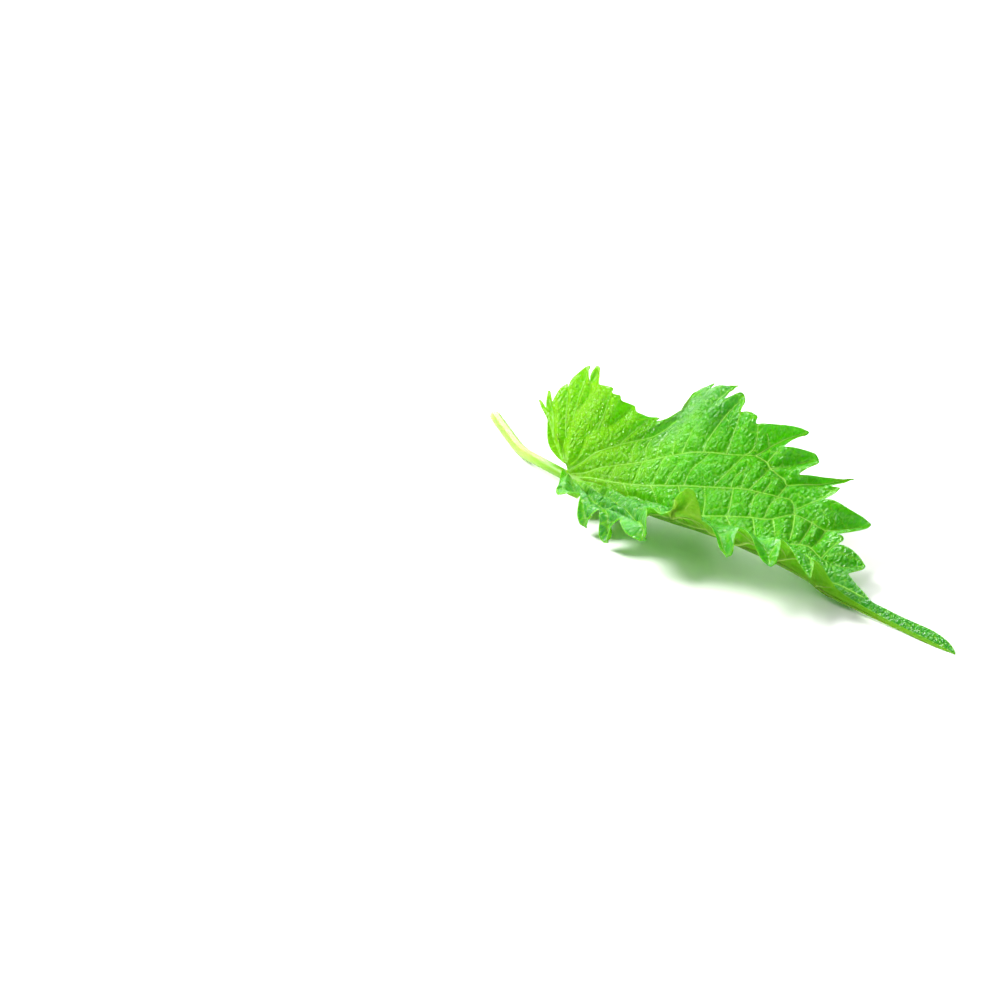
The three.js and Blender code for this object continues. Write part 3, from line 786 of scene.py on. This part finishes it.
# %% Values and finishes
class Value:
    """A number that changes over the surface: one output of a shader node, with arithmetic."""

    def __init__(self, finish, socket):
        self.finish, self.socket = finish, socket

    def math(self, operation, *values):
        """The Math node of an operation on values or plain numbers."""
        return self.finish.add("ShaderNodeMath", {"operation": operation}, values)

    __add__ = __radd__ = lambda self, other: self.math("ADD", self, other)
    __mul__ = __rmul__ = lambda self, other: self.math("MULTIPLY", self, other)
    __sub__ = lambda self, other: self.math("SUBTRACT", self, other)
    __rsub__ = lambda self, other: self.math("SUBTRACT", other, self)

    def fades(self, full, gone):
        """1 up to full and 0 past gone, with a soft change between them."""
        settings = {"interpolation_type": "SMOOTHSTEP"}
        return self.finish.add("ShaderNodeMapRange", settings, {0: self, 1: full, 2: gone, 3: 1.0, 4: 0.0})


class Finish:
    """A material, and the one way in which its nodes are added."""

    def __init__(self, name, **constants):
        self.material = bpy.data.materials.new(name)
        self.material.use_nodes = True
        self.tree = self.material.node_tree
        self.skin = self.tree.nodes["Principled BSDF"]
        for socket, value in constants.items():
            self.skin.inputs[socket.replace("_", " ")].default_value = value

    def add(self, kind, settings, inputs, output=0):
        """A node of the given kind: its settings are set first, then each input gets a value or a link."""
        node = self.tree.nodes.new(kind)
        for setting, value in settings.items():
            setattr(node, setting, value)
        for key, value in inputs.items() if isinstance(inputs, dict) else enumerate(inputs):
            if isinstance(value, Value):
                self.tree.links.new(value.socket, node.inputs[key])
            else:
                node.inputs[key].default_value = value
        return Value(self, node.outputs[output])

    def field(self, name):
        """A value that the mesh holds at each of its points, such as the distance from the rim in mm."""
        return self.add("ShaderNodeAttribute", {"attribute_name": name}, [], "Fac")

    def blend(self, share, a, b):
        """Colour a * (1 - share) + b * share."""
        return self.add("ShaderNodeMix", {"data_type": "RGBA"}, {0: share, 6: a, 7: b}, 2)

    def place(self):
        """The place on the piece, in metres."""
        return self.add("ShaderNodeTexCoord", {}, [], "Object")

    def flat(self):
        """The flat place out of the UV map: millimetres / 100 + (0.3, 0.4)."""
        return self.add("ShaderNodeUVMap", {"uv_map": "flat"}, [])

    def noise(self, vector, scale, detail=2.0):
        """Soft random patches round 0.5, about 1 / scale wide."""
        return self.add("ShaderNodeTexNoise", {}, {"Vector": vector, "Scale": scale, "Detail": detail}, "Fac")

    def part_of(self, vector, number):
        """One of a vector's three numbers."""
        return self.add("ShaderNodeSeparateXYZ", {}, [vector], number)

    def folded_flat(self):
        """The flat place with both halves of the leaf laid on each other, so that a pattern is mirrored at
        the midrib."""
        flat = self.flat()
        side = self.part_of(flat, 1) - UV_MIDRIB
        return self.add("ShaderNodeCombineXYZ", {}, [self.part_of(flat, 0), side.math("ABSOLUTE", side)])

    def turned(self, vector, angle, scale):
        """A vector turned by an angle, in radians, and stretched."""
        inputs = {"Vector": vector, "Rotation": (0, 0, -angle), "Scale": scale}
        return self.add("ShaderNodeMapping", {}, inputs)

    def cell_edges(self, vector, scale):
        """Distance to the nearest border of the texture's cells."""
        settings = {"feature": "DISTANCE_TO_EDGE", "voronoi_dimensions": "2D"}
        return self.add("ShaderNodeTexVoronoi", settings, {"Vector": vector, "Scale": scale}, "Distance")

    def bump(self, height, depth):
        """A normal that leans as if the surface rose by height * depth."""
        return self.add("ShaderNodeBump", {}, {"Height": height, "Distance": depth, "Strength": 1.0})

    def feed(self, socket, value):
        """Links a value to a socket of the skin."""
        self.tree.links.new(value.socket, self.skin.inputs[socket])

    def shines_through(self, share, tint):
        """Lets a share of the light pass, tinted, so that the lit side also brightens the other one. The
        share is one number or changes over the surface."""
        skin = Value(self, self.skin.outputs[0])
        passing = self.add("ShaderNodeBsdfTranslucent", {}, {"Color": tint})
        mixed = self.add("ShaderNodeMixShader", {}, [share, skin, passing])
        self.tree.links.new(mixed.socket, self.tree.nodes["Material Output"].inputs["Surface"])


def colour(red, green, blue):
    """A colour as it looks on a screen, from 0 to 255, made linear for the shader."""
    c = np.array([red, green, blue]) / 255
    linear = np.where(c < 0.04045, c / 12.92, ((c + 0.055) / 1.055) ** 2.4)
    return (*linear.tolist(), 1.0)


print("finishes are ready to be written")

# %% [markdown]
# ## The upper face
# Fresh leaf tissue is a bright yellow-green where it is young and thin, near the stalk, and a fuller green
# further out. The right half has a painted bluish sheen, which stands for the white surroundings mirrored
# at a grazing angle, and painted shade near the stalk. The crest of the left half and the long tip are
# darker, painted shade darkens the creases, and the net and the veins are paler. The rim's thin pale line
# is partly paler margin tissue and partly a painted highlight. The skin has a satin gloss, which turns
# mint where it mirrors the white surroundings, and fine dents between cells.
# Some of the light goes in and comes out elsewhere, also on the other side, so the skin scatters light
# below its surface and lets a share of it pass.

# %% Finish of the upper face
GREEN, YOUNG, DEEP, PALE = colour(88, 190, 0), colour(164, 214, 0), colour(60, 160, 0), colour(165, 225, 40)
# The bluish mint on this line is a painted sheen, and the colour after it a painted shade.
TIP_GREEN, PAINTED_SHEEN, PAINTED_SHADE_GREEN = colour(56, 138, 50), colour(80, 170, 72), colour(40, 134, 64)
# The crease colour on this line is a painted shade in the creases.
CREST_GREEN, CREASE_SHADE_GREEN = colour(44, 122, 30), colour(30, 116, 20)
LADDER_SCALE, SMALL_SCALE, DENT_DEPTH = 95.0, 190.0, 0.0003
SCATTER = dict(Subsurface_Weight=0.5, Subsurface_Scale=0.0003, Subsurface_Radius=(0.7, 1.0, 0.15))

upper = Finish("upper_face", Specular_IOR_Level=0.6, Sheen_Weight=0.05, Sheen_Roughness=0.4, **SCATTER)
flat_place = upper.flat()
along = upper.part_of(flat_place, 0)
across = upper.part_of(flat_place, 1)
young = along.fades(0.26, 0.6) * (1 - across.fades(0.36, 0.42) * 0.5)
mottle = upper.noise(upper.place(), 130.0, 3.0)
rim, crease = upper.field("rim"), upper.field("crease")
# painted shade: the right half darker from 4 mm beside the midrib out, fading between 20 and 42 mm along
painted_shade = across.fades(0.36, 0.4) * along.fades(0.5, 0.72)
crest = rim.fades(3.0, 11.0) * (1 - along.fades(0.36, 0.44)) * along.fades(0.56, 0.64)
sided = upper.folded_flat()
ladder = upper.cell_edges(upper.turned(sided, 0.45, (1.0, 0.6, 1.0)), LADDER_SCALE)
small = upper.cell_edges(upper.turned(sided, 0.2, (1.0, 0.8, 1.0)), SMALL_SCALE)
green = upper.blend(young * 0.8 + (mottle - 0.5) * 0.4, GREEN, YOUNG)
for place, share, tint in (
    (rim.fades(1.0, 7.0) * (1 - young), 0.6, DEEP),
    (1 - along.fades(0.92, 1.06), 1.0, TIP_GREEN),
    # painted sheen: bluish mint on the right half for the white surroundings mirrored at a grazing angle
    (across.fades(0.3, 0.39) * along.fades(0.85, 1.0), 0.4, PAINTED_SHEEN),
    # painted shade on the right half near the stalk
    (painted_shade, 0.45, PAINTED_SHADE_GREEN),
    (crest * (1 - across.fades(0.4, 0.5)), 0.8, CREST_GREEN),
    (upper.field("net").fades(0.02, 0.14), 0.4, PALE),
    (ladder.fades(0.0, 0.1), 0.3, PALE),
    (upper.field("vein").fades(0.06, 0.35), 0.4, PALE),
    # the rim's pale line: partly paler margin tissue, partly a painted highlight
    (rim.fades(0.03, 0.2), 0.5, PALE),
    # painted shade in the creases
    (crease, 0.45, CREASE_SHADE_GREEN),
):
    green = upper.blend(place * share, green, tint)
upper.feed("Base Color", green)
upper.feed("Roughness", upper.noise(upper.place(), 420.0) * 0.14 + 0.2)
inner = 1 - rim.fades(1.0, 4.5) * along.fades(0.88, 1.0) * 0.6
dents = (ladder.fades(0.0, 0.4) * -1.0 + small.fades(0.0, 0.4) * -0.4) * inner
upper.feed("Normal", upper.bump(dents, DENT_DEPTH))
upper.shines_through(0.5 - crease * 0.2 - painted_shade * 0.08, colour(130, 230, 0))
print("upper face:", len(upper.tree.nodes), "nodes")

# %% [markdown]
# ## The lower face, the veins and the stalk
# Below, the leaf is duller and more olive, with a network of fine veins. The cords and ribs of the veins are
# paler than the blade. So is the stalk, which turns greener near the blade and ends in a moist, pale cut.

# %% Finishes of the lower face, veins and stalk
below = Finish("lower_face", Specular_IOR_Level=0.4, **SCATTER)
olive = below.blend(below.noise(below.place(), 160.0, 3.0), colour(116, 178, 0), colour(146, 190, 0))
olive = below.blend(below.field("net").fades(0.03, 0.22) * 0.4, olive, colour(160, 206, 50))
olive = below.blend(below.field("vein").fades(0.1, 0.6) * 0.5, olive, colour(170, 212, 60))
below.feed("Base Color", olive)
below.feed("Roughness", below.noise(below.place(), 300.0) * 0.2 + 0.5)
below.feed("Normal", below.bump(below.cell_edges(below.folded_flat(), 150.0).fades(0.0, 0.15), 0.0001))
below.shines_through(0.5, colour(150, 225, 0))

vein = Finish("vein_cord", Specular_IOR_Level=0.5, Roughness=0.42)
cord_green = vein.blend(vein.noise(vein.place(), 200.0), colour(172, 244, 78), colour(198, 250, 118))
vein.feed("Base Color", cord_green)
vein.shines_through(0.5, colour(170, 240, 60))

rib = Finish("vein_rib", Specular_IOR_Level=0.4, Roughness=0.5)
rib.feed("Base Color", rib.blend(rib.noise(rib.place(), 200.0), colour(140, 186, 50), colour(160, 204, 76)))

stem = Finish("stalk_skin", Specular_IOR_Level=0.5, Subsurface_Weight=0.4, Subsurface_Scale=0.001)
stem_place = stem.turned(stem.place(), 0, (0.25, 0.6, 1.0))
stem_green = stem.blend(stem.noise(stem_place, 900.0, 3.0), colour(122, 178, 40), colour(158, 208, 72))
near_blade = 1 - stem.part_of(stem.place(), 0).fades(-0.046, -0.034)
stem_green = stem.blend(near_blade, stem_green, colour(112, 172, 8))
stem.feed("Base Color", stem.blend(stem.field("cut"), stem_green, colour(196, 205, 140)))
stem.feed("Roughness", stem.noise(stem.place(), 700.0) * 0.25 + 0.35)
stem.feed("Normal", stem.bump(stem.noise(stem_place, 1500.0), 0.00012))

worn = {blade_left: (upper, below), blade_right: (upper, below), veins_above: (vein,), ribs_below: (rib,)}
worn[stalk] = (stem,)
for piece, finishes in worn.items():
    for finish in finishes:
        piece.data.materials.append(finish.material)
print("finishes given to", [piece.name for piece in worn])

# %% [markdown]
# ## Table, light and camera
# The leaf lies on a plain white table in soft light. A window on the viewer's left makes the relief cast
# its small shadows to the right. A broader light behind the leaf shines through the lifted half, and a weak
# one on the viewer's side opens the shadows. The camera looks down at 28 degrees through a long lens, and
# the midrib is turned 42.5 degrees out of the picture's plane.

# %% Camera
VIEW_HEADING = np.array([-0.6762, 0.7367, 0.0])
VIEW_RIGHT = np.array([0.7367, 0.6762, 0.0])
AIM = np.array([-7.6, -12.1, 0.0]) + FOOT_OF_BLADE
ELEVATION, DISTANCE = np.radians(28), 580.0
look = np.cos(ELEVATION) * VIEW_HEADING - np.sin(ELEVATION) * UP

camera = put_in_scene("camera", bpy.data.cameras.new("camera"))
camera.data.lens, camera.data.sensor_width = 100, 36
camera.data.clip_start = 0.01
camera.location = Vector((AIM - DISTANCE * look) * MM)
camera.rotation_euler = Vector(look).to_track_quat("-Z", "Y").to_euler()
bpy.context.scene.camera = camera
print("camera at", [round(x, 3) for x in camera.location])

# %% Table
TABLE_HALF = 4.0
corners = [(x * TABLE_HALF, y * TABLE_HALF, 0) for x, y in ((-1, -1), (1, -1), (1, 1), (-1, 1))]
floor_mesh = bpy.data.meshes.new("table")
floor_mesh.from_pydata(corners, [], [(0, 1, 2, 3)])
table = put_in_scene("table", floor_mesh)
top = Finish("table_top", Roughness=0.7, Specular_IOR_Level=0.2)
top.feed("Base Color", top.blend(top.noise(top.place(), 12.0), colour(243, 243, 241), colour(248, 248, 247)))
floor_mesh.materials.append(top.material)
print("table top at height 0")


# %% Lights
def lamp(name, right, away, up, size, power):
    """A square soft light, placed in metres to the viewer's right, away from the viewer and up, and aimed
    at the leaf."""
    light = bpy.data.lights.new(name, "AREA")
    light.shape, light.size, light.energy = "SQUARE", size, power
    made = put_in_scene(name, light)
    place = right * VIEW_RIGHT + away * VIEW_HEADING + up * UP
    made.location = Vector(place)
    made.rotation_euler = Vector(-place).to_track_quat("-Z", "Y").to_euler()


lamp("window", -1.25, 0.25, 1.25, 0.6, 52.0)
lamp("back", -0.2, 1.4, 1.0, 0.9, 41.0)
lamp("fill", 0.5, -1.1, 1.0, 0.9, 11.0)
world = bpy.data.worlds.new("white_room")
world.use_nodes = True
white = world.node_tree.nodes["Background"].inputs
white["Color"].default_value, white["Strength"].default_value = (1, 1, 1, 1), 0.1
bpy.context.scene.world = world
bpy.context.scene.view_settings.view_transform = "Standard"
print("lights on")
